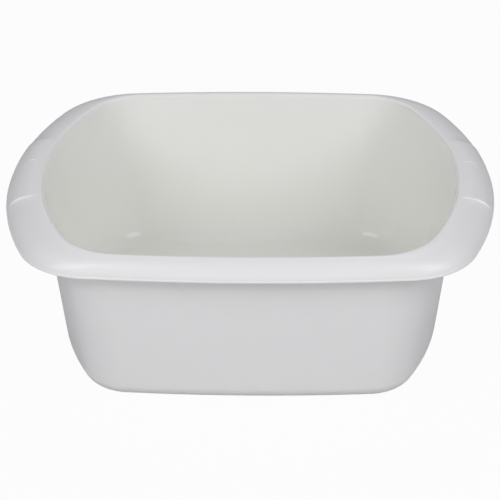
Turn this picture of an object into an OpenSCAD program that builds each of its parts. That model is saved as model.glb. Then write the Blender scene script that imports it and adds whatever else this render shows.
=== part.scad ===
// Washing up bowl, one moulding in white polypropylene, split into its named regions.
// Millimetres. +X is towards the right handle, +Y towards the back, +Z up.
// The origin is on the ground, under the middle of the bowl.

/* [Rim] */
// Length over the lips of both handles
rim_len = 390; // [380:1:400]
// Width over the lips of the long sides
rim_wid = 312; // [308:1:318]
// Width of the rim at the handles
end_w = 29.6; // [26:0.1:32]
// Width of the rim along the long sides
side_w = 15.1; // [14:0.1:18]
// Radius of the rim's four corners
rim_corner_r = 59; // [52:1:64]
// Radius of the rim's two ends
rim_end_r = 281; // [260:1:300]
// Drop from the crest of the rim to the bottom of its lip
rim_drop = 14.6; // [12:0.1:15]
// Height of the quarter ellipse that the rim rolls over by
roll_h = 16; // [15.5:0.1:20]
// Thickness of the rim's skin
rim_t = 2.2; // [1.8:0.1:2.6]
// Radius of the rounded inner edge
edge_r = 2.5; // [1.5:0.1:3]
// Width of the flat crest between the inner edge and the roll
crest_flat = 0.4; // [0.2:0.1:1.5]
// How far the lip stands out of the skirt above it
lip_out = 0.5; // [0.3:0.1:1]
// Height of the lip
lip_h = 1.7; // [1.2:0.1:2.4]

/* [Handles] */
// Length of the raised pad on each handle
grip_len = 100; // [80:1:110]
// Width of the pad's roll, which is tighter than the plain rim's
grip_roll_w = 16; // [14:0.5:22]
// Height of the pad's roll
grip_roll_h = 15; // [15:0.1:17]

/* [Basin] */
// Height from the ground to the crest of the rim
height = 140; // [130:1:150]
// Radius of the mouth's four corners
mouth_corner_r = 50.2; // [46:0.2:56]
// Radius of the mouth's two long sides
mouth_side_r = 1381; // [1200:5:1600]
// Radius of the mouth's two ends
mouth_end_r = 237; // [225:1:250]
// Lean of the wall, in degrees from upright
draft = 5.6; // [3:0.1:7]
// Thickness of the wall and the floor
wall_t = 2.2; // [1.8:0.1:3]
// Outer radius between the wall and the floor
floor_r = 13.2; // [10:0.1:16]

/* [Foot] */
// Height of the foot ring under the floor
foot_h = 1; // [0.6:0.1:2]
// Width of the foot ring
foot_wid = 5; // [3:0.5:8]
// Diameter of the gate mark under the middle of the floor
gate_d = 9; // [5:0.5:14]
// Depth of the gate mark
gate_deep = 0.5; // [0.3:0.1:0.9]

/* [Hidden] */
white = [0.93, 0.93, 0.915];
// Fineness of the small arcs and of the long, flat arcs
$fn = 96;
long_fn = 720;
// Steps round the rim's corners, in the round by the floor and in the curves of the rim's section
corner_steps = 12;
round_steps = 10;
edge_steps = 2;
roll_steps = 7;
under_steps = 6;
// Height at which the wall ends and the rim begins
rim_z = height - 8;
// An outline is a half length, a half width and the radii of its corners, sides and ends
rim = [rim_len / 2, rim_wid / 2, rim_corner_r, mouth_side_r + side_w, rim_end_r];
mouth = [rim[0] - end_w, rim[1] - side_w, mouth_corner_r, mouth_side_r, mouth_end_r];

// Centres of an outline's back side, right end and back right corner
function side_centre(o) = [0, o[1] - o[3]];
function end_centre(o) = [o[0] - o[4], 0];
function corner_centre(o) =
    let (
        side = side_centre(o),
        across = end_centre(o) - side,
        span = norm(across),
        along = across / span,
        side_gap = o[3] - o[2],
        end_gap = o[4] - o[2],
        reach = (span ^ 2 + side_gap ^ 2 - end_gap ^ 2) / (2 * span),
        rise = sqrt(side_gap ^ 2 - reach ^ 2)
    )
    side + along * reach + [along[1], -along[0]] * rise;

// Angles at which the corner's arc meets the side's arc and the end's arc
function angle_of(v) = atan2(v[1], v[0]);
function side_angle(o) = angle_of(corner_centre(o) - side_centre(o));
function end_angle(o) = angle_of(corner_centre(o) - end_centre(o));

// Point of an outline's first quarter where its normal lies at an angle to +X
function round_point(centre, r, a) = centre + r * [cos(a), sin(a)];
function outline_point(o, a) =
    a > side_angle(o) ? round_point(side_centre(o), o[3], a)
    : a > end_angle(o) ? round_point(corner_centre(o), o[2], a)
    : round_point(end_centre(o), o[4], a);
function angle_at_y(o, y) = asin(y / o[4]);

// Offsets of the wall's inner and outer faces from the mouth, at a height
function inner_face(z) = (z - height) * tan(draft);
function outer_face(z) = inner_face(z) + wall_t / cos(draft);

// Centre of the round between wall and floor, as an offset and a height
floor_o = outer_face(foot_h + floor_r) - floor_r / cos(draft);
floor_z = foot_h + floor_r;
floor_in_r = floor_r - wall_t;

// Section of the rim. Its run goes outwards from the mouth, and its rise is the height.
edge_o = edge_r / cos(draft) - edge_r * tan(draft);
lip_z = height - rim_drop;
joint_o = outer_face(height - rim_t);
function roll_start(h) = asin((h - rim_drop + lip_h) / h);
function plain_roll_w(w) = (w - lip_out - edge_o - crest_flat) / cos(roll_start(roll_h));
function roll_point(w, h, a) = [w * cos(a), h * sin(a)];
function roll_normal(w, h, a) =
    let (n = [cos(a) / w, sin(a) / h])
    n / norm(n);
function under_roll(w, h, a) = roll_point(w, h, a) - rim_t * roll_normal(w, h, a);
function rim_section(w, roll_w, h) =
    let (
        low = roll_start(h),
        centre = [w - lip_out - roll_w * cos(low), height - h],
        under_top = height - rim_t,
        web = joint_o + rim_t - centre[0],
        high = acos(max(0, web + rim_t) / roll_w)
    )
    concat(
        [[inner_face(rim_z), rim_z]],
        [for (i = [0:edge_steps])
            let (a = 180 - draft - (90 - draft) * i / edge_steps)
            [edge_o, height - edge_r] + edge_r * [cos(a), sin(a)]],
        [for (i = [0:roll_steps])
            centre + roll_point(roll_w, h, 90 + (low - 90) * i / roll_steps)],
        [[w, lip_z + lip_h * 0.7], [w, lip_z + lip_h * 0.3]],
        [[w - lip_out, lip_z], [w - lip_out - rim_t, lip_z]],
        [for (i = [0:under_steps])
            centre + under_roll(roll_w, h, low + (high - low) * i / under_steps)],
        [web > 0 ? centre + under_roll(roll_w, h, acos(web / roll_w)) : [joint_o + rim_t, under_top]],
        [[joint_o + rim_t * 0.3, under_top - rim_t * 0.5]],
        [[outer_face(under_top - rim_t * 1.3), under_top - rim_t * 1.3]],
        [[outer_face(rim_z), rim_z]]);

// Ring of points that stands the section up between a point of the mouth and one of the rim
function rim_ring(in, out) =
    let (
        w = norm(out - in),
        way = (out - in) / w
    )
    [for (p = rim_section(w, plain_roll_w(w), roll_h))
        [in[0] + way[0] * p[0], in[1] + way[1] * p[0], p[1]]];

// Rings round the back right corner, from the handle to the long side
function mix(from, to, share) = from + (to - from) * share;
function corner_angle(o, share) = mix(angle_at_y(o, grip_len / 2), side_angle(mouth), share);
function corner_rings() =
    [for (i = [0:corner_steps])
        let (share = i / corner_steps)
        rim_ring(outline_point(mouth, corner_angle(mouth, share)),
            outline_point(rim, corner_angle(rim, share)))];

// Closed solid through a list of rings that all have the same number of points
module loft(rings) {
    count = len(rings[0]);
    last = len(rings) - 1;
    points = [for (ring = rings) each ring];
    ends = [
        [for (i = [0:count - 1]) i],
        [for (i = [count - 1:-1:0]) last * count + i]];
    sides = [
        for (k = [0:last - 1], i = [0:count - 1])
            let (
                next = (i + 1) % count,
                a = k * count + i,
                b = k * count + next
            )
            each [[a, a + count, b + count], [a, b + count, b]]];
    polyhedron(points, concat(ends, sides), convexity = 6);
}

// Sweeps a flat section round one arc. The section's X is the offset outwards from the arc.
module sweep_arc(centre, r, from, to) {
    translate([centre[0], centre[1], 0])
        rotate([0, 0, from])
            rotate_extrude(angle = to - from, $fn = r > 100 ? long_fn : $fn)
                translate([r, 0])
                    children();
}

// Section of the wall with the round that carries it into the floor
module wall_section() {
    centre = [floor_o, floor_z];
    polygon(concat(
        [[inner_face(rim_z), rim_z]],
        [for (i = [0:round_steps]) round_point(centre, floor_in_r, mix(-draft, -90, i / round_steps))],
        [for (i = [0:round_steps]) round_point(centre, floor_r, mix(-90, -draft, i / round_steps))],
        [[outer_face(rim_z), rim_z]]));
}

// Flat area inside the mouth's outline, moved outwards by an offset
function flip_x(p) = [-p[0], p[1]];
function flip_y(p) = [p[0], -p[1]];
module outline_area(offset_out) {
    steps = 20;
    side_a = side_angle(mouth);
    end_a = end_angle(mouth);
    angles = concat(
        [for (i = [0:steps]) mix(0, end_a, i / steps)],
        [for (i = [1:steps]) mix(end_a, side_a, i / steps)],
        [for (i = [1:steps - 1]) mix(side_a, 90, i / steps)]);
    quarter = [for (a = angles) outline_point(mouth, a) + offset_out * [cos(a), sin(a)]];
    top = [0, mouth[1] + offset_out];
    last = len(quarter) - 1;
    polygon(concat(
        quarter,
        [top],
        [for (i = [last:-1:0]) flip_x(quarter[i])],
        [for (i = [1:last]) [-quarter[i][0], -quarter[i][1]]],
        [flip_y(top)],
        [for (i = [last:-1:1]) flip_y(quarter[i])]));
}

module basin_floor() {
    color(white)
        translate([0, 0, foot_h])
            difference() {
                linear_extrude(wall_t)
                    outline_area(floor_o);
                translate([0, 0, -1])
                    cylinder(d = gate_d, h = 1 + gate_deep);
            }
}

module foot_ring() {
    color(white)
        linear_extrude(foot_h)
            difference() {
                outline_area(floor_o - 1);
                outline_area(floor_o - 1 - foot_wid);
            }
}

module back_wall() {
    side_a = side_angle(mouth);
    color(white)
        sweep_arc(side_centre(mouth), mouth[3], side_a, 180 - side_a)
            wall_section();
}

module front_wall() {
    mirror([0, 1, 0])
        back_wall();
}

module right_wall() {
    end_a = end_angle(mouth);
    color(white)
        sweep_arc(end_centre(mouth), mouth[4], -end_a, end_a)
            wall_section();
}

module left_wall() {
    mirror([1, 0, 0])
        right_wall();
}

module back_right_wall() {
    color(white)
        sweep_arc(corner_centre(mouth), mouth[2], end_angle(mouth), side_angle(mouth))
            wall_section();
}

module back_left_wall() {
    mirror([1, 0, 0])
        back_right_wall();
}

module front_right_wall() {
    mirror([0, 1, 0])
        back_right_wall();
}

module front_left_wall() {
    mirror([1, 0, 0])
        front_right_wall();
}

module back_rim() {
    side_a = side_angle(mouth);
    color(white)
        sweep_arc(side_centre(mouth), mouth[3], side_a, 180 - side_a)
            polygon(rim_section(side_w, plain_roll_w(side_w), roll_h));
}

module front_rim() {
    mirror([0, 1, 0])
        back_rim();
}

module right_handle() {
    end_a = end_angle(mouth);
    color(white)
        intersection() {
            sweep_arc(end_centre(mouth), mouth[4], -end_a, end_a)
                polygon(rim_section(end_w, grip_roll_w, grip_roll_h));
            translate([0, -grip_len / 2, lip_z - 1])
                cube([rim_len, grip_len, rim_drop + 2]);
        }
}

module left_handle() {
    mirror([1, 0, 0])
        right_handle();
}

module back_right_rim() {
    color(white)
        loft(corner_rings());
}

module back_left_rim() {
    mirror([1, 0, 0])
        back_right_rim();
}

module front_right_rim() {
    mirror([0, 1, 0])
        back_right_rim();
}

module front_left_rim() {
    mirror([1, 0, 0])
        front_right_rim();
}

basin_floor();
foot_ring();
front_wall();
back_wall();
left_wall();
right_wall();
front_left_wall();
front_right_wall();
back_left_wall();
back_right_wall();
front_rim();
back_rim();
left_handle();
right_handle();
front_left_rim();
front_right_rim();
back_left_rim();
back_right_rim();
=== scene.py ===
import math

import bmesh
import bpy
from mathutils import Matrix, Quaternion, Vector


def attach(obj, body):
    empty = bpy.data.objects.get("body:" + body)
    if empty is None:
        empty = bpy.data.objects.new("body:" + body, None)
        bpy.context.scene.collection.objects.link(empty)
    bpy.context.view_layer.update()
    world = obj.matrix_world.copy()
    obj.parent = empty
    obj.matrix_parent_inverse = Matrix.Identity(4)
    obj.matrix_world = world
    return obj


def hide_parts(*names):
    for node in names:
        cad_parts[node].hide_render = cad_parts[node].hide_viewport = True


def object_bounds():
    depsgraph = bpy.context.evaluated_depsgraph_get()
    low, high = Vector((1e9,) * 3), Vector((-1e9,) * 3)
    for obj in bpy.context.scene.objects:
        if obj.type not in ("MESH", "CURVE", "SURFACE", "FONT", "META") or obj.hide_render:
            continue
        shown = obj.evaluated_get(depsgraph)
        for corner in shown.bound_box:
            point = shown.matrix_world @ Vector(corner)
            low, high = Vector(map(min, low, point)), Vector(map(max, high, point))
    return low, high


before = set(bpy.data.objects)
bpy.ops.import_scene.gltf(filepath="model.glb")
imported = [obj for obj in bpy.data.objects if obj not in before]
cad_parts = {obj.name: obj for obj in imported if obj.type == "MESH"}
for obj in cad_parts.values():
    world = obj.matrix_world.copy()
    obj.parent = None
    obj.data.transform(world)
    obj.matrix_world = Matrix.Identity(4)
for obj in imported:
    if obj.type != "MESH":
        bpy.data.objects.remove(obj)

# A washing up bowl with two handles, one moulding in white polypropylene.
# Sizes are in millimetres and turned to metres by mm.
mm = 0.001
near = 0.02  # points closer than this are one, and a level is met within it
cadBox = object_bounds()
lowest, highest = cadBox
print("frame loaded:", len(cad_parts), "nodes")


# Mesh helpers

def pick(kind, test):  # selects the VERT, EDGE or FACE parts that pass, in the mesh that is in edit mode
    bpy.ops.mesh.select_mode(type=kind)
    bpy.ops.mesh.select_all(action="DESELECT")
    data = bpy.context.edit_object.data
    mesh = bmesh.from_edit_mesh(data)
    mesh.verts.index_update()
    for part in {"VERT": mesh.verts, "EDGE": mesh.edges, "FACE": mesh.faces}[kind]:
        part.select = test(part)
    mesh.select_flush_mode()
    bmesh.update_edit_mesh(data)


def startPoint(name, place):  # a plane merged to one vertex, the start of a drawn line
    bpy.ops.object.select_all(action="DESELECT")
    bpy.ops.mesh.primitive_plane_add(size=mm)
    piece = bpy.context.object
    piece.name = name
    bpy.ops.object.mode_set(mode="EDIT")
    bpy.ops.mesh.select_mode(type="VERT")
    bpy.ops.mesh.merge(type="CENTER")
    bpy.ops.transform.translate(value=Vector(place) * mm)
    return piece


def lineTo(run, rise):
    bpy.ops.mesh.extrude_region_move(TRANSFORM_OT_translate={"value": (run * mm, 0, rise * mm)})


def arcRound(centre, degrees, steps):  # in the plane Y = 0; a positive angle turns from below towards +X
    bpy.ops.mesh.spin(
        steps=steps, angle=math.radians(degrees), center=Vector(centre) * mm, axis=(0, 1, 0))


def addModifier(piece, kind, **settings):
    bpy.context.view_layer.objects.active = piece
    bpy.ops.object.modifier_add(type=kind)
    modifier = piece.modifiers[-1]
    for name, value in settings.items():
        setattr(modifier, name, value)
    bpy.ops.object.modifier_apply(modifier=modifier.name)


def selectOnly(first, *others):  # the first is made active
    bpy.ops.object.select_all(action="DESELECT")
    for piece in (first, *others):
        piece.select_set(True)
    bpy.context.view_layer.objects.active = first


def joinPieces(first, *others):
    selectOnly(first, *others)
    bpy.ops.object.join()
    return first


# The bowl

bowl = {
    # Each outline has its length and width, and the radii of its arcs at the corners, sides and ends.
    "mouth": {"length": 330.8, "width": 281.8, "corner": 50.2, "side": 1381, "end": 237},
    "rim": {
        "length": (highest.x - lowest.x) / mm, "width": (highest.y - lowest.y) / mm,
        "corner": 59, "side": 1396.1, "end": 281},
    "height": highest.z / mm,
    "wall": 2.2,
    "draft": 5.6,  # lean of the wall, in degrees
    "floorRound": 13,  # between the wall and the floor, on the inside
    "floorRings": (1.5, 6),  # widths of the rings of faces at the edge of the flat floor
    "foot": 1,  # height of the ring that it stands on
    "footInset": 1,
    "footWidth": 5,
    "edgeRound": 2.5,  # the inner edge of the rim
    "crestFlat": 0.4,
    "rimDrop": 14.6,
    "rollHeight": 16,  # of the quarter ellipse that the rim falls by
    "lipOut": 0.5,
    "lipHeight": 1.7,
    "lipLines": ((0.7, 0.15), (0.3, 0.2), (0, 0.65)),  # shares of both that each line goes out and down by
    "padLength": 100,  # of the raised pad on each handle
    "padRollWidth": 20,
    "padRollHeight": 15.5,
    "padRamp": 1.8,
    "padSplay": 1.06,  # the pad is this much longer at the skirt than at the crest
    # where the second skin is smoothed: either side of a line past the pad's end, and the times it is done
    "underPad": {"past": 1, "reach": 6, "inside": 4, "above": 0.3, "times": 24},
    "oval": {"place": 177, "halfWide": 6, "halfLong": 12.5, "low": 138.2, "tall": 5, "deep": 0.25},
    "gateWide": 9,
    "gateDeep": 0.5,
    "brokenEdge": 0.3,  # of the lip and the foot
    "smoothAngle": 35,  # edges sharper than this stay sharp
    "steps": {
        "pad": 24, "ramp": 9, "end": 5, "corner": 28, "side": 8,  # stations round a quarter of the bowl
        "floorRound": 14, "wall": 12, "edgeRound": 8, "roll": 48,  # down the section
        "circle": 96},
    "rampLead": 1,  # the close stations of the ramp start this much before it
}
tanDraft = math.tan(math.radians(bowl["draft"]))
cosDraft = math.cos(math.radians(bowl["draft"]))
sinDraft = math.sin(math.radians(bowl["draft"]))
edgeX = bowl["mouth"]["length"] / 2 + bowl["edgeRound"] / cosDraft - bowl["edgeRound"] * tanDraft
crestX = edgeX + bowl["crestFlat"]
skirtX = bowl["rim"]["length"] / 2 - bowl["lipOut"]
rimZ = bowl["height"] - bowl["rimDrop"]  # the lower edge of the rim
skirtZ = rimZ + bowl["lipHeight"]  # where the roll ends and the lip begins


def arcsOf(outline):  # centres of the side, corner and end arcs in the first quarter, and where they meet
    side = Vector((0, outline["width"] / 2 - outline["side"]))
    end = Vector((outline["length"] / 2 - outline["end"], 0))
    across = end - side
    along = across.normalized()
    sideGap = outline["side"] - outline["corner"]
    endGap = outline["end"] - outline["corner"]
    reach = (across.length_squared + sideGap ** 2 - endGap ** 2) / (2 * across.length)
    rise = math.sqrt(sideGap ** 2 - reach ** 2)
    corner = side + along * reach + Vector((along.y, -along.x)) * rise
    sideAngle = math.degrees(math.atan2(corner.y - side.y, corner.x - side.x))
    endAngle = math.degrees(math.atan2(corner.y - end.y, corner.x - end.x))
    return {"side": side, "corner": corner, "end": end, "sideAngle": sideAngle, "endAngle": endAngle}


def centreAt(outline, angle):
    arcs = arcsOf(outline)
    if angle > arcs["sideAngle"]:
        return arcs["side"]
    return arcs["corner"] if angle > arcs["endAngle"] else arcs["end"]


def angleAtY(outline, y):  # on the end arc
    return math.degrees(math.asin(y / outline["end"]))


def spread(start, end, steps):
    return [start + (end - start) * step / steps for step in range(1, steps + 1)]


# Stations round the first quarter: an angle on the mouth's outline and one on the rim's. They fan out
# a little along the handle, stand close at the pad's ramp, and then turn together to the long side.
def stationAngles():
    mouth, rim, steps = bowl["mouth"], bowl["rim"], bowl["steps"]
    padHalf = bowl["padLength"] / 2
    closeFrom = padHalf - bowl["padRamp"] - bowl["rampLead"]
    pad = [0] + spread(0, closeFrom, steps["pad"]) + spread(closeFrom, padHalf, steps["ramp"])
    angles = [(angleAtY(mouth, y), angleAtY(rim, y * bowl["padSplay"])) for y in pad]
    fromMouth, fromRim = angles[-1]
    last = arcsOf(mouth)["sideAngle"]
    # how far on the way to the last angle the arcs of both outlines meet, as shares of it
    rimEnd = (arcsOf(rim)["endAngle"] - fromRim) / (last - fromRim)
    mouthEnd = (arcsOf(mouth)["endAngle"] - fromMouth) / (last - fromMouth)
    rimSide = (arcsOf(rim)["sideAngle"] - fromRim) / (last - fromRim)
    marks = spread(0, rimEnd, steps["end"]) + [mouthEnd]
    marks += spread(mouthEnd, rimSide, steps["corner"]) + [1]
    angles += [(fromMouth + (last - fromMouth) * s, fromRim + (last - fromRim) * s) for s in marks]
    return angles + [(angle, angle) for angle in spread(last, 90, steps["side"])]


stations = stationAngles()
mouthAngles = [mouthAngle for mouthAngle, rimAngle in stations]
rimAngles = [rimAngle for mouthAngle, rimAngle in stations]


def sweep(outline, angles):  # carries what is selected round the quarter, arc by arc
    for start, end in zip(angles, angles[1:]):
        centre = centreAt(outline, (start + end) / 2)
        bpy.ops.mesh.spin(
            steps=1, angle=math.radians(end - start), center=(centre.x * mm, centre.y * mm, 0),
            axis=(0, 0, -1))


def makeBasin():  # inside of the floor's round, the wall, the inner edge and the flat crest
    corner, edge, steps = bowl["floorRound"], bowl["edgeRound"], bowl["steps"]
    roundZ = bowl["foot"] + bowl["wall"] + corner
    roundX = bowl["mouth"]["length"] / 2 + (roundZ - bowl["height"]) * tanDraft - corner / cosDraft
    piece = startPoint("basin", (roundX, 0, roundZ - corner))
    arcRound((roundX, 0, roundZ), 90 - bowl["draft"], steps["floorRound"])
    edgeZ = bowl["height"] - edge
    wallFrom = Vector((roundX + corner * cosDraft, roundZ - corner * sinDraft))
    wallTo = Vector((edgeX - edge * cosDraft, edgeZ + edge * sinDraft))
    for step in range(steps["wall"]):
        lineTo(*((wallTo - wallFrom) / steps["wall"]))
    arcRound((edgeX, 0, edgeZ), bowl["draft"] - 90, steps["edgeRound"])
    lineTo(bowl["crestFlat"], 0)
    bpy.ops.mesh.select_all(action="SELECT")
    sweep(bowl["mouth"], mouthAngles)
    bpy.ops.object.mode_set(mode="OBJECT")
    return piece


def makeLip():  # the bead along the rim's lower edge
    piece = startPoint("lip", (skirtX, 0, skirtZ))
    for out, down in bowl["lipLines"]:
        lineTo(bowl["lipOut"] * out, -bowl["lipHeight"] * down)
    bpy.ops.mesh.select_all(action="SELECT")
    sweep(bowl["rim"], rimAngles)
    bpy.ops.object.mode_set(mode="OBJECT")
    return piece


def lowShare(height):  # what is left of a quarter ellipse's height where the lip begins
    return 1 - (bowl["height"] - skirtZ) / height


def rollFall(share, height):  # fall of a quarter ellipse that ends where the lip begins
    return height * (1 - math.sqrt(1 - share ** 2 * (1 - lowShare(height) ** 2)))


def padLift(share):  # how far the pad stands above the plain roll, at a share of the rim's width
    height, wide = bowl["padRollHeight"], bowl["padRollWidth"]
    flatEnd = skirtX - wide * math.sqrt(1 - lowShare(height) ** 2)
    run = crestX + (skirtX - crestX) * share - flatEnd
    fall = height * (1 - math.sqrt(1 - (run / wide) ** 2)) if run > 0 else 0
    return rollFall(share, bowl["rollHeight"]) - fall


def rampParts():  # each station on the pad: its Y at the crest and at the skirt, and its part of the lift
    mouth, parts = bowl["mouth"], []
    for mouthAngle, rimAngle in stations:
        mouthSine, rimSine = math.sin(math.radians(mouthAngle)), math.sin(math.radians(rimAngle))
        left = bowl["padLength"] / 2 - mouth["end"] * mouthSine  # from here to the pad's end
        if left < near:
            break
        crestY = (mouth["end"] + crestX - mouth["length"] / 2) * mouthSine
        skirtY = (bowl["rim"]["end"] - bowl["lipOut"]) * rimSine
        share = min(1, left / bowl["padRamp"])
        parts.append((crestY, skirtY, share * share * (3 - 2 * share)))
    return parts


def makeRoll():  # bridged straight from the crest to the skirt, then each row is lifted to the curve
    piece = startPoint("roll", (crestX, 0, bowl["height"]))
    sweep(bowl["mouth"], mouthAngles)
    bpy.ops.object.mode_set(mode="OBJECT")
    skirtEdge = startPoint("skirtEdge", (skirtX, 0, skirtZ))
    sweep(bowl["rim"], rimAngles)
    bpy.ops.object.mode_set(mode="OBJECT")
    joinPieces(piece, skirtEdge)
    bpy.ops.object.mode_set(mode="EDIT")
    bpy.ops.mesh.select_all(action="SELECT")
    rows, fall = bowl["steps"]["roll"], bowl["height"] - skirtZ
    bpy.ops.mesh.bridge_edge_loops(number_cuts=rows - 1, interpolation="LINEAR")
    mesh = bmesh.from_edit_mesh(piece.data)
    mesh.verts.index_update()
    rowOf = [round((bowl["height"] - vert.co.z / mm) / fall * rows) for vert in mesh.verts]
    pad = rampParts()
    for row in range(1, rows):
        share = row / rows
        pick("VERT", lambda vert: rowOf[vert.index] == row)
        rise = fall * share - rollFall(share, bowl["rollHeight"])
        bpy.ops.transform.translate(value=(0, 0, rise * mm))
        for crestY, skirtY, part in pad:
            y = crestY + (skirtY - crestY) * share
            pick("VERT", lambda vert: rowOf[vert.index] == row and abs(vert.co.y / mm - y) < near)
            bpy.ops.transform.translate(value=(0, 0, padLift(share) * part * mm))
    bpy.ops.object.mode_set(mode="OBJECT")
    return piece


def closeFloor(piece):  # a face in the last ring, then the whole skin is turned so that the floor faces up
    floorTop = bowl["foot"] + bowl["wall"]
    bpy.ops.object.mode_set(mode="EDIT")
    pick("VERT", lambda vert: abs(vert.co.z / mm - floorTop) < near)
    bpy.ops.mesh.edge_face_add()
    for width in bowl["floorRings"]:
        bpy.ops.mesh.inset(thickness=width * mm)
    bpy.ops.mesh.select_all(action="SELECT")
    bpy.ops.mesh.normals_make_consistent(inside=False)
    bpy.ops.object.mode_set(mode="OBJECT")
    floorFace = max(piece.data.polygons, key=lambda face: face.area)
    if floorFace.normal.z < 0:
        bpy.ops.object.mode_set(mode="EDIT")
        bpy.ops.mesh.flip_normals()
        bpy.ops.object.mode_set(mode="OBJECT")


# The wall's thickness goes to the outside and under the rim, as a second skin whose points follow those
# of the first in the same order. That skin is plain behind the lip, and it is smoothed under the steps
# of the pads, where the even thickness would fold it.
def thickenWall(piece):
    firstCount = len(piece.data.vertices)
    lipLevels = {
        vert.index + firstCount: vert.co.z / mm
        for vert in piece.data.vertices if rimZ + near < vert.co.z / mm < skirtZ + near}
    addModifier(
        piece, "SOLIDIFY", thickness=bowl["wall"] * mm, offset=-1, use_even_offset=True,
        use_quality_normals=True)
    bpy.ops.object.mode_set(mode="EDIT")
    pick("EDGE", lambda edge: all(vert.index in lipLevels for vert in edge.verts)
         and abs(lipLevels[edge.verts[0].index] - lipLevels[edge.verts[1].index]) < near)
    bpy.ops.mesh.dissolve_edges(use_verts=True)
    zone = bowl["underPad"]
    middle = bowl["padLength"] / 2 + zone["past"]
    pick("VERT", lambda vert: vert.index >= firstCount and vert.co.z / mm > rimZ + zone["above"]
         and abs(vert.co.x / mm) > crestX - zone["inside"]
         and abs(abs(vert.co.y / mm) - middle) < zone["reach"])
    bpy.ops.mesh.vertices_smooth(factor=0.5, repeat=zone["times"])
    bpy.ops.object.mode_set(mode="OBJECT")


def isFloorUnderside(face):  # faces down within 2.5 degrees, and is low
    facesDown = face.normal.z < -math.cos(math.radians(2.5))
    return facesDown and face.calc_center_median().z / mm < bowl["foot"] + 0.1


def makeFoot():  # the ring that the bowl stands on, drawn out of the floor's underside
    bpy.ops.object.mode_set(mode="EDIT")
    pick("FACE", isFloorUnderside)
    bpy.ops.mesh.dissolve_faces()
    bpy.ops.mesh.inset(thickness=bowl["footInset"] * mm)
    bpy.ops.mesh.inset(thickness=bowl["footWidth"] * mm, use_select_inset=True)
    bpy.ops.mesh.extrude_region_shrink_fatten(TRANSFORM_OT_shrink_fatten={"value": bowl["foot"] * mm})
    bpy.ops.object.mode_set(mode="OBJECT")


def markGate(piece):  # the shallow round mark that the moulding gate leaves under the floor
    bpy.ops.object.select_all(action="DESELECT")
    bpy.ops.mesh.primitive_cylinder_add(
        vertices=bowl["steps"]["circle"], radius=bowl["gateWide"] / 2 * mm,
        depth=2 * bowl["gateDeep"] * mm, location=(0, 0, bowl["foot"] * mm))
    cutter = bpy.context.object
    addModifier(piece, "BOOLEAN", object=cutter, operation="DIFFERENCE", solver="EXACT")
    bpy.data.objects.remove(cutter)


def markHandles(piece):  # a plain, shallow oval on top of each handle, as deep all over
    oval = bowl["oval"]
    selectOnly(piece)
    bpy.ops.object.duplicate()
    sunken = bpy.context.object
    bpy.ops.object.mode_set(mode="EDIT")
    bpy.ops.mesh.select_all(action="SELECT")
    bpy.ops.transform.shrink_fatten(value=-oval["deep"] * mm)
    bpy.ops.object.mode_set(mode="OBJECT")
    cutters = []
    for side in (-1, 1):
        bpy.ops.object.select_all(action="DESELECT")
        bpy.ops.mesh.primitive_cylinder_add(
            vertices=bowl["steps"]["circle"], radius=oval["halfWide"] * mm, depth=oval["tall"] * mm,
            location=(side * oval["place"] * mm, 0, (oval["low"] + oval["tall"] / 2) * mm))
        bpy.ops.object.mode_set(mode="EDIT")
        bpy.ops.transform.resize(value=(1, oval["halfLong"] / oval["halfWide"], 1))
        bpy.ops.object.mode_set(mode="OBJECT")
        cutters.append(bpy.context.object)
    cutter = joinPieces(*cutters)
    addModifier(cutter, "BOOLEAN", object=sunken, operation="DIFFERENCE", solver="EXACT")
    addModifier(piece, "BOOLEAN", object=cutter, operation="DIFFERENCE", solver="EXACT")
    bpy.data.objects.remove(sunken)
    bpy.data.objects.remove(cutter)


def isUpright(face):
    return abs(face.normal.z) < 0.5


def finishMesh(piece):  # breaks the edges of the lip and the foot, then shades it smooth
    bpy.ops.object.mode_set(mode="EDIT")
    for level in (rimZ, 0):
        pick("EDGE", lambda edge: all(abs(vert.co.z / mm - level) < near for vert in edge.verts)
             and any(isUpright(face) for face in edge.link_faces))
        bpy.ops.mesh.bevel(offset=bowl["brokenEdge"] * mm, segments=2, affect="EDGES")
    bpy.ops.object.mode_set(mode="OBJECT")
    selectOnly(piece)
    bpy.ops.object.shade_smooth_by_angle(angle=math.radians(bowl["smoothAngle"]))


def makeBowl():
    piece = joinPieces(makeBasin(), makeRoll(), makeLip())
    piece.name = "bowl"
    bpy.ops.object.mode_set(mode="EDIT")
    bpy.ops.mesh.select_all(action="SELECT")
    bpy.ops.mesh.remove_doubles(threshold=near * mm)
    bpy.ops.object.mode_set(mode="OBJECT")
    addModifier(piece, "MIRROR", use_axis=(True, True, False), merge_threshold=near * mm)
    closeFloor(piece)
    thickenWall(piece)
    makeFoot()
    markGate(piece)
    markHandles(piece)
    finishMesh(piece)
    return piece


bowlPiece = makeBowl()
print("bowl made:", len(bowlPiece.data.polygons), "faces")


# Materials

def linear(hexColour):  # an sRGB hex colour as a linear RGBA
    parts = [int(hexColour[i:i + 2], 16) / 255 for i in (0, 2, 4)]
    return [part / 12.92 if part <= 0.04045 else ((part + 0.055) / 1.055) ** 2.4 for part in parts] + [1]


def addNode(material, kind, links=(), **settings):  # links are (input, other node's output)
    node = material.node_tree.nodes.new(kind)
    for name, value in settings.items():
        if hasattr(node, name):
            setattr(node, name, value)
        else:
            node.inputs[name.replace("_", " ")].default_value = value
    for name, output in links:
        material.node_tree.links.new(output, node.inputs[name])
    return node


def newMaterial(name):
    material = bpy.data.materials.new(name)
    material.use_nodes = True
    material.node_tree.nodes.clear()
    return material


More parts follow.
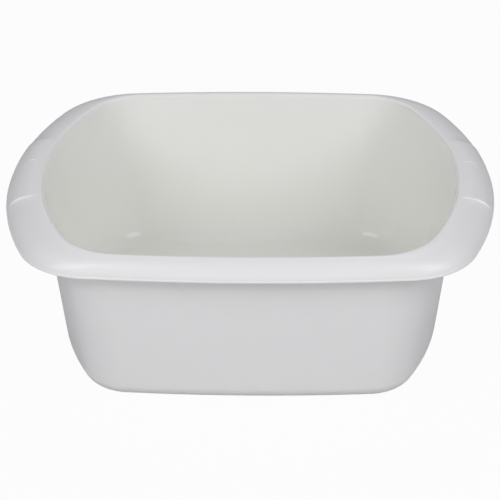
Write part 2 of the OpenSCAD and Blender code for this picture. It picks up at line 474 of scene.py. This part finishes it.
# White polypropylene, injection moulded. The outside is cast on finely spark-eroded steel and has
# soft, broad highlights. The inside of the tub is cast on polished steel and has sharper ones.
# Both let a little light into the wall.
polypropylene = {
    "colour": "f8f8ee",
    "roughness": {"satinPolypropylene": 0.3, "polishedPolypropylene": 0.15},
    "ior": 1.49,
    "milky": 0.1,  # share of the light that spreads in the wall
    "depth": 1,  # how far it spreads, in mm
    "depthShares": (1.0, 0.9, 0.75),  # of red, green and blue
    "grain": 0.9,  # size of the texture's grain in mm, coarser than the real one so that it shows
    "grainHeight": 0.1,
    "grainStrength": 0.06,
}


def makePolypropylene(name):
    material = newMaterial(name)
    place = addNode(material, "ShaderNodeTexCoord")
    grain = addNode(
        material, "ShaderNodeTexNoise", [("Vector", place.outputs["Object"])],
        Scale=1 / (polypropylene["grain"] * mm))
    bump = addNode(
        material, "ShaderNodeBump", [("Height", grain.outputs["Fac"])],
        Strength=polypropylene["grainStrength"], Distance=polypropylene["grainHeight"] * mm)
    shader = addNode(
        material, "ShaderNodeBsdfPrincipled", [("Normal", bump.outputs["Normal"])],
        Base_Color=linear(polypropylene["colour"]), Roughness=polypropylene["roughness"][name],
        IOR=polypropylene["ior"], Subsurface_Weight=polypropylene["milky"],
        Subsurface_Radius=polypropylene["depthShares"], Subsurface_Scale=polypropylene["depth"] * mm)
    addNode(material, "ShaderNodeOutputMaterial", [("Surface", shader.outputs["BSDF"])])
    return material


def isInside(face):  # the floor faces up, and the tub's walls lean to face its middle and a little up
    middle = face.calc_center_median() / mm
    if middle.z > bowl["height"] - bowl["edgeRound"] or face.normal.z < 0:
        return False
    inwards = -middle.x * face.normal.x - middle.y * face.normal.y
    return inwards > 0 or middle.z < bowl["floorRound"]


def dressBowl(piece):
    piece.data.materials.clear()
    for name in polypropylene["roughness"]:
        piece.data.materials.append(makePolypropylene(name))
    selectOnly(piece)
    bpy.ops.object.mode_set(mode="EDIT")
    pick("FACE", isInside)
    piece.active_material_index = piece.data.materials.find("polishedPolypropylene")
    bpy.ops.object.material_slot_assign()
    bpy.ops.object.mode_set(mode="OBJECT")


dressBowl(bowlPiece)
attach(bowlPiece, "root")
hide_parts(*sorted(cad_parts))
print("bowl finished")


# Camera, at the photograph's viewing angle

camera = {
    "lens": 110.32,
    "sensor": 36,
    "farthest": 100000,
    "place": (24.08, -1099.48, 705.28),
    "lookAt": (-0.62, 0, 62.6),
    "roll": -0.33,
}


def makeCamera():
    place = Vector(camera["place"]) * mm
    turn = (Vector(camera["lookAt"]) * mm - place).to_track_quat("-Z", "Y")
    turn = turn @ Quaternion((0, 0, 1), math.radians(camera["roll"]))
    bpy.ops.object.camera_add(location=place, rotation=turn.to_euler())
    made = bpy.context.object
    made.data.lens = camera["lens"]
    made.data.sensor_width = camera["sensor"]
    made.data.clip_end = camera["farthest"] * mm
    bpy.context.scene.camera = made


# Floor and light

studio = {
    "floorSize": 30000,
    "floor": "cccccc",
    "floorWhite": 0.96,  # share of the floor's colour that the camera sees as plain white
    "light": "f3f3ff",  # a little cool, as daylight tubes are
    "world": 0.2,
    "aim": (0, 0, 70),
    "lamps": {
        "leftBox": {"place": (-1010, -1122, 1050), "wide": 1000, "tall": 1000, "power": 11.2},
        "rightBox": {"place": (1193, -867, 1102), "wide": 1000, "tall": 1000, "power": 11.2},
        "backBox": {"place": (0, 1160, 1450), "wide": 1200, "tall": 900, "power": 6.5},
        "frontBox": {"place": (0, -1760, 445), "wide": 1000, "tall": 600, "power": 2.7},
        "leftLamp": {"place": (-472, -1296, 1227), "wide": 120, "tall": 120, "power": 0.8},
        "rightLamp": {"place": (472, -1296, 1227), "wide": 120, "tall": 120, "power": 0.8},
    },
}


def makeFloor():
    bpy.ops.mesh.primitive_plane_add(size=studio["floorSize"] * mm)
    floor = bpy.context.object
    floor.name = "studioFloor"
    material = newMaterial("paintedBoard")
    rays = addNode(material, "ShaderNodeLightPath")
    board = addNode(material, "ShaderNodeBsdfDiffuse", Color=linear(studio["floor"]))
    white = addNode(material, "ShaderNodeEmission", Color=linear("ffffff"), Strength=1.0)
    share = addNode(
        material, "ShaderNodeMath", [(0, rays.outputs["Is Camera Ray"])], operation="MULTIPLY")
    share.inputs[1].default_value = studio["floorWhite"]
    mixed = addNode(
        material, "ShaderNodeMixShader",
        [(0, share.outputs[0]), (1, board.outputs[0]), (2, white.outputs[0])])
    addNode(material, "ShaderNodeOutputMaterial", [("Surface", mixed.outputs[0])])
    floor.data.materials.append(material)


def makeLamp(name, settings):
    place = Vector(settings["place"]) * mm
    turn = (Vector(studio["aim"]) * mm - place).to_track_quat("-Z", "Y").to_euler()
    bpy.ops.object.light_add(type="AREA", location=place, rotation=turn)
    lamp = bpy.context.object
    lamp.name = name
    lamp.data.shape = "RECTANGLE"
    lamp.data.size = settings["wide"] * mm
    lamp.data.size_y = settings["tall"] * mm
    lamp.data.energy = settings["power"]
    lamp.data.color = linear(studio["light"])[:3]


def makeWorld():  # soft light all round, which the camera sees as plain white
    world = bpy.data.worlds.new("studioWorld")
    bpy.context.scene.world = world
    world.use_nodes = True
    world.node_tree.nodes.clear()
    rays = addNode(world, "ShaderNodeLightPath")
    around = addNode(world, "ShaderNodeBackground", Color=linear(studio["light"]), Strength=studio["world"])
    seen = addNode(world, "ShaderNodeBackground", Color=linear("ffffff"), Strength=1.0)
    mixed = addNode(
        world, "ShaderNodeMixShader",
        [(0, rays.outputs["Is Camera Ray"]), (1, around.outputs[0]), (2, seen.outputs[0])])
    addNode(world, "ShaderNodeOutputWorld", [("Surface", mixed.outputs[0])])


makeCamera()
makeFloor()
for lampName, lampSettings in studio["lamps"].items():
    makeLamp(lampName, lampSettings)
makeWorld()
bpy.context.scene.view_settings.view_transform = "Standard"
print("studio set")
